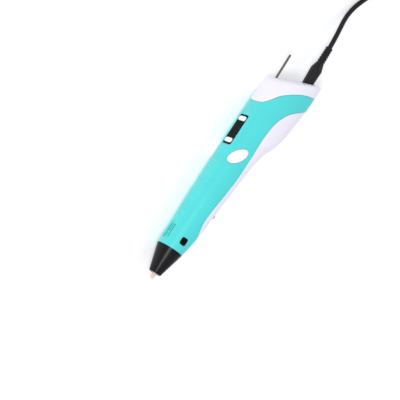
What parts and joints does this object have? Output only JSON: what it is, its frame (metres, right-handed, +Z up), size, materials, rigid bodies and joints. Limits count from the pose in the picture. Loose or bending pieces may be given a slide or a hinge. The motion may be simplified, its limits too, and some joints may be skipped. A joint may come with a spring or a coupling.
{
  "type": "three d pen",
  "caption": "Hand-held 3D drawing pen with a nozzle cover, display window, side buttons, filament drive, belly shell, rear cap and plugged-in power lead.",
  "frame": {"origin": "on the table under the middle of the pen's box, the pen lying on its far flank; its lead isn't counted", "axes": "+X from the rear to the nozzle along the filament, -Y towards the display side, +Z up, out of the flank with the feed button"},
  "size_m": [0.323, 0.0732, 0.0311],
  "materials": {
    "turquoise_shell": "smooth satin moulding",
    "white_shell": "smooth satin moulding",
    "white_button": "smooth satin moulding",
    "black_cover": "satin moulding",
    "black_gloss": "polished",
    "black_plastic": "fine texture",
    "cable_jacket": "soft matte jacket",
    "ceramic": "unglazed ceramic",
    "brass": "turned",
    "steel": "brushed",
    "ptfe": "waxy",
    "mica": "woven glass sleeve",
    "circuit_board": "solder mask",
    "lcd": "display glass",
    "capacitor": "sleeved",
    "sensor": "glass bead",
    "lead_wire": "silicone",
    "grey_plastic": "glass filled nylon",
    "filament": "extruded strand"
  },
  "bodies": {
    "housing": {"belly_screws": "steel", "belly_shell": "white_shell", "board_screws": "steel", "cable_coil": "cable_jacket", "cable_tail": "cable_jacket", "cable_tie": "black_plastic", "cap_screws": "steel", "capacitors": "capacitor", "ceramic_heater": "ceramic", "ceramic_nozzle": "ceramic", "contact_pins": "brass", "controller_chip": "black_plastic", "dc_jack": "black_plastic", "dc_plug": "black_plastic", "display_window": "black_gloss", "drive_bracket": "grey_plastic", "feed_board": "circuit_board", "feed_switch": "black_plastic", "guide_tube_front": "ptfe", "guide_tube_rear": "ptfe", "heat_tube": "steel", "heater_leads": "lead_wire", "hot_end_board": "circuit_board", "hot_end_carrier": "grey_plastic", "hot_end_socket": "black_plastic", "idler_spring": "steel", "insulation_sleeve": "mica", "key_switches": "black_plastic", "lcd_module": "lcd", "main_board": "circuit_board", "main_shell": "turquoise_shell", "motor_can": "steel", "motor_end_cap": "black_plastic", "motor_gearbox": "steel", "nozzle_cover": "black_cover", "nozzle_holder": "brass", "pivot_pin": "steel", "plug_barrel": "steel", "power_cable": "cable_jacket", "rear_cap": "white_shell", "speed_potentiometer": "black_plastic", "thermistor": "sensor", "unload_board": "circuit_board", "unload_switch": "black_plastic", "usb_plug": "black_plastic", "usb_shell": "steel", "wiring": "lead_wire"},
    "feed_button": {"feed_button": "white_button"},
    "unload_button": {"unload_button": "white_button"},
    "temp_up_key": {"temp_up_key": "white_button"},
    "temp_down_key": {"temp_down_key": "white_button"},
    "speed_knob": {"speed_knob": "white_button"},
    "latch_near": {"nozzle_latch_near": "black_gloss"},
    "latch_far": {"nozzle_latch_far": "black_gloss"},
    "drive": {"motor_shaft": "steel", "drive_gear": "brass"},
    "idler_arm": {"idler_arm": "grey_plastic", "idler_pin": "steel"},
    "idler_bearing": {"idler_bearing": "steel"},
    "filament": {"filament": "filament"}
  },
  "joints": [
    {"name": "feed_button_press", "type": "slide", "parent": "housing", "child": "feed_button", "axis": [0, 0.3811, -0.9245], "range_m": [0, 0.0007], "stiffness_N_per_m": 1200, "springref_m": -0.0004},
    {"name": "unload_button_press", "type": "slide", "parent": "housing", "child": "unload_button", "axis": [0, 0.3811, 0.9245], "range_m": [0, 0.0007], "stiffness_N_per_m": 1200, "springref_m": -0.0004},
    {"name": "temp_up_key_press", "type": "slide", "parent": "housing", "child": "temp_up_key", "axis": [0.0297, 0.9996, 0], "range_m": [0, 0.00035], "stiffness_N_per_m": 1500, "springref_m": -0.0003},
    {"name": "temp_down_key_press", "type": "slide", "parent": "housing", "child": "temp_down_key", "axis": [0.0297, 0.9996, 0], "range_m": [0, 0.00035], "stiffness_N_per_m": 1500, "springref_m": -0.0003},
    {"name": "speed_knob_slide", "type": "slide", "parent": "housing", "child": "speed_knob", "axis": [0.9992, 0, 0.041], "range_m": [-0.004, 0.004]},
    {"name": "latch_near_press", "type": "slide", "parent": "housing", "child": "latch_near", "axis": [0, 0, -1], "range_m": [0, 0.0012], "stiffness_N_per_m": 1500, "springref_m": -0.0004},
    {"name": "latch_far_press", "type": "slide", "parent": "housing", "child": "latch_far", "axis": [0, 0, 1], "range_m": [0, 0.0012], "stiffness_N_per_m": 1500, "springref_m": -0.0004},
    {"name": "drive_gear_turn", "type": "hinge", "parent": "housing", "child": "drive", "pos_m": [-0.05775, -0.01262, 0.01142], "axis": [0, 1, 0], "range_deg": [-268, 268]},
    {"name": "filament_feed", "type": "slide", "parent": "housing", "child": "filament", "axis": [1, 0, 0], "range_m": [-0.0151, 0.0151]},
    {"name": "idler_arm_swing", "type": "hinge", "parent": "housing", "child": "idler_arm", "pos_m": [-0.06775, -0.01262, 0.02073], "axis": [0, -1, 0], "range_deg": [0, 4], "stiffness_Nm_per_rad": 0.05, "springref_deg": -5.73},
    {"name": "idler_bearing_turn", "type": "hinge", "parent": "idler_arm", "child": "idler_bearing", "pos_m": [-0.05775, -0.01262, 0.01944], "axis": [0, 1, 0], "range_deg": [-288, 288]}
  ],
  "couplings": [
    {"joint": "drive_gear_turn", "follows": "filament_feed", "rad_per_m": 309.6},
    {"joint": "idler_bearing_turn", "follows": "filament_feed", "rad_per_m": -330.03}
  ]
}
